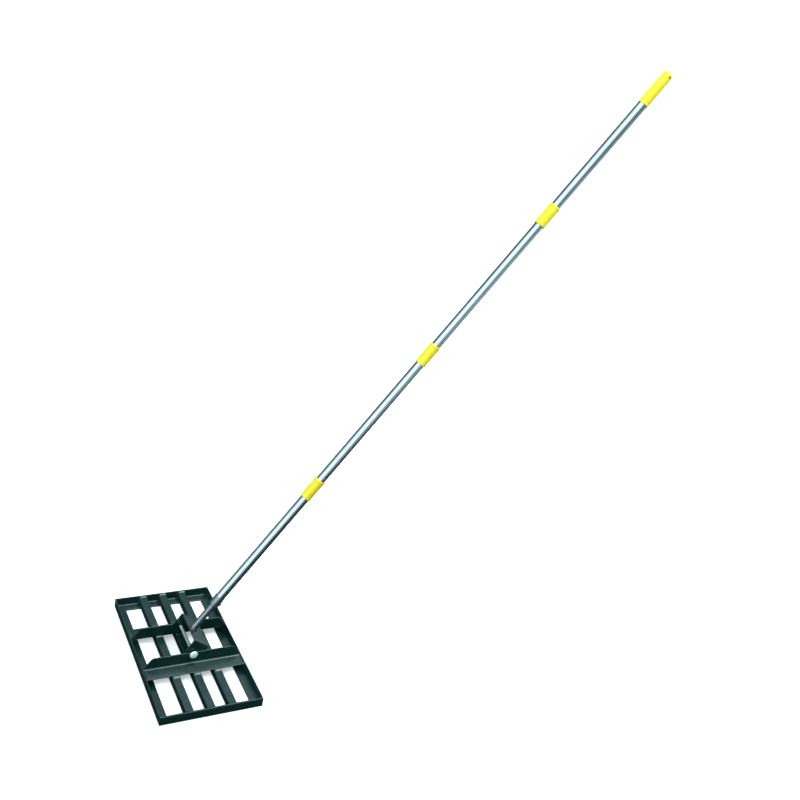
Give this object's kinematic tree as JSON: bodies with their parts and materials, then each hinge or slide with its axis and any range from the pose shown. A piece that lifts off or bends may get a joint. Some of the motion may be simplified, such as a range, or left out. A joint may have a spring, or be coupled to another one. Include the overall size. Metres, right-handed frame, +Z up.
{
  "type": "lawn levelling rake",
  "caption": "Flat green steel frame with cross bars, pulled over lawn soil to level it by a long steel handle that tilts on a bolt, screws together from sections and ends in a grip.",
  "frame": {"origin": "middle of the head's underside, on the flat underside of the middle bar, which is the plane the head lies on", "axes": "+Z up; +Y along the head's long side, away from the bolt's head towards its nut; +X the way the handle leans, towards the grip"},
  "size_m": [1.1044, 0.43, 1.5068],
  "materials": {
    "side_rail_left": "bottle-green gloss powder coat",
    "side_rail_right": "bottle-green gloss powder coat",
    "end_rail_near": "bottle-green gloss powder coat",
    "end_rail_far": "bottle-green gloss powder coat",
    "bar_left": "bottle-green gloss powder coat",
    "bar_middle": "bottle-green gloss powder coat",
    "bar_right": "bottle-green gloss powder coat",
    "cross_member_near": "bottle-green gloss powder coat",
    "cross_member_far": "bottle-green gloss powder coat",
    "pivot_bolt": "bright zinc plating",
    "pivot_washer": "bright zinc plating",
    "pivot_nut": "bright zinc plating",
    "bracket": "bottle-green gloss powder coat",
    "spigot": "bottle-green gloss powder coat",
    "collar": "bottle-green gloss powder coat",
    "lock_screw": "bright zinc plating",
    "tube_1": "bright drawn stainless tube",
    "coupler_1": "moulded yellow plastic, semi-gloss",
    "threaded_plug_2": "moulded yellow plastic, semi-gloss",
    "tube_2": "bright drawn stainless tube",
    "coupler_2": "moulded yellow plastic, semi-gloss",
    "threaded_plug_3": "moulded yellow plastic, semi-gloss",
    "tube_3": "bright drawn stainless tube",
    "coupler_3": "moulded yellow plastic, semi-gloss",
    "threaded_plug_4": "moulded yellow plastic, semi-gloss",
    "tube_4": "bright drawn stainless tube",
    "grip_sleeve": "moulded yellow plastic, semi-gloss",
    "end_cap": "moulded yellow plastic, semi-gloss"
  },
  "bodies": {
    "head": {"side_rail_left": "side_rail_left", "side_rail_right": "side_rail_right", "end_rail_near": "end_rail_near", "end_rail_far": "end_rail_far", "bar_left": "bar_left", "bar_middle": "bar_middle", "bar_right": "bar_right", "cross_member_near": "cross_member_near", "cross_member_far": "cross_member_far", "pivot_bolt": "pivot_bolt", "pivot_washer": "pivot_washer", "pivot_nut": "pivot_nut"},
    "handle_foot": {"bracket": "bracket", "spigot": "spigot", "collar": "collar", "lock_screw": "lock_screw", "tube_1": "tube_1", "coupler_1": "coupler_1"},
    "section_2": {"threaded_plug_2": "threaded_plug_2", "tube_2": "tube_2", "coupler_2": "coupler_2"},
    "section_3": {"threaded_plug_3": "threaded_plug_3", "tube_3": "tube_3", "coupler_3": "coupler_3"},
    "section_4": {"threaded_plug_4": "threaded_plug_4", "tube_4": "tube_4", "grip_sleeve": "grip_sleeve", "end_cap": "end_cap"}
  },
  "joints": [
    {"name": "handle_tilt", "type": "hinge", "parent": "head", "child": "handle_foot", "pos_m": [0, 0, 0.0465], "axis": [0, -1, 0], "range_deg": [-56, 124]},
    {"name": "section_2_unscrew", "type": "hinge", "parent": "handle_foot", "child": "section_2", "pos_m": [0.26737, 0, 0.4572], "axis": [0.5592, 0, 0.829], "range_deg": [0, 1620]},
    {"name": "section_3_unscrew", "type": "hinge", "parent": "section_2", "child": "section_3", "pos_m": [0.50335, 0, 0.80706], "axis": [0.5592, 0, 0.829], "range_deg": [0, 1620]},
    {"name": "section_4_unscrew", "type": "hinge", "parent": "section_3", "child": "section_4", "pos_m": [0.73933, 0, 1.15691], "axis": [0.5592, 0, 0.829], "range_deg": [0, 1620]}
  ]
}
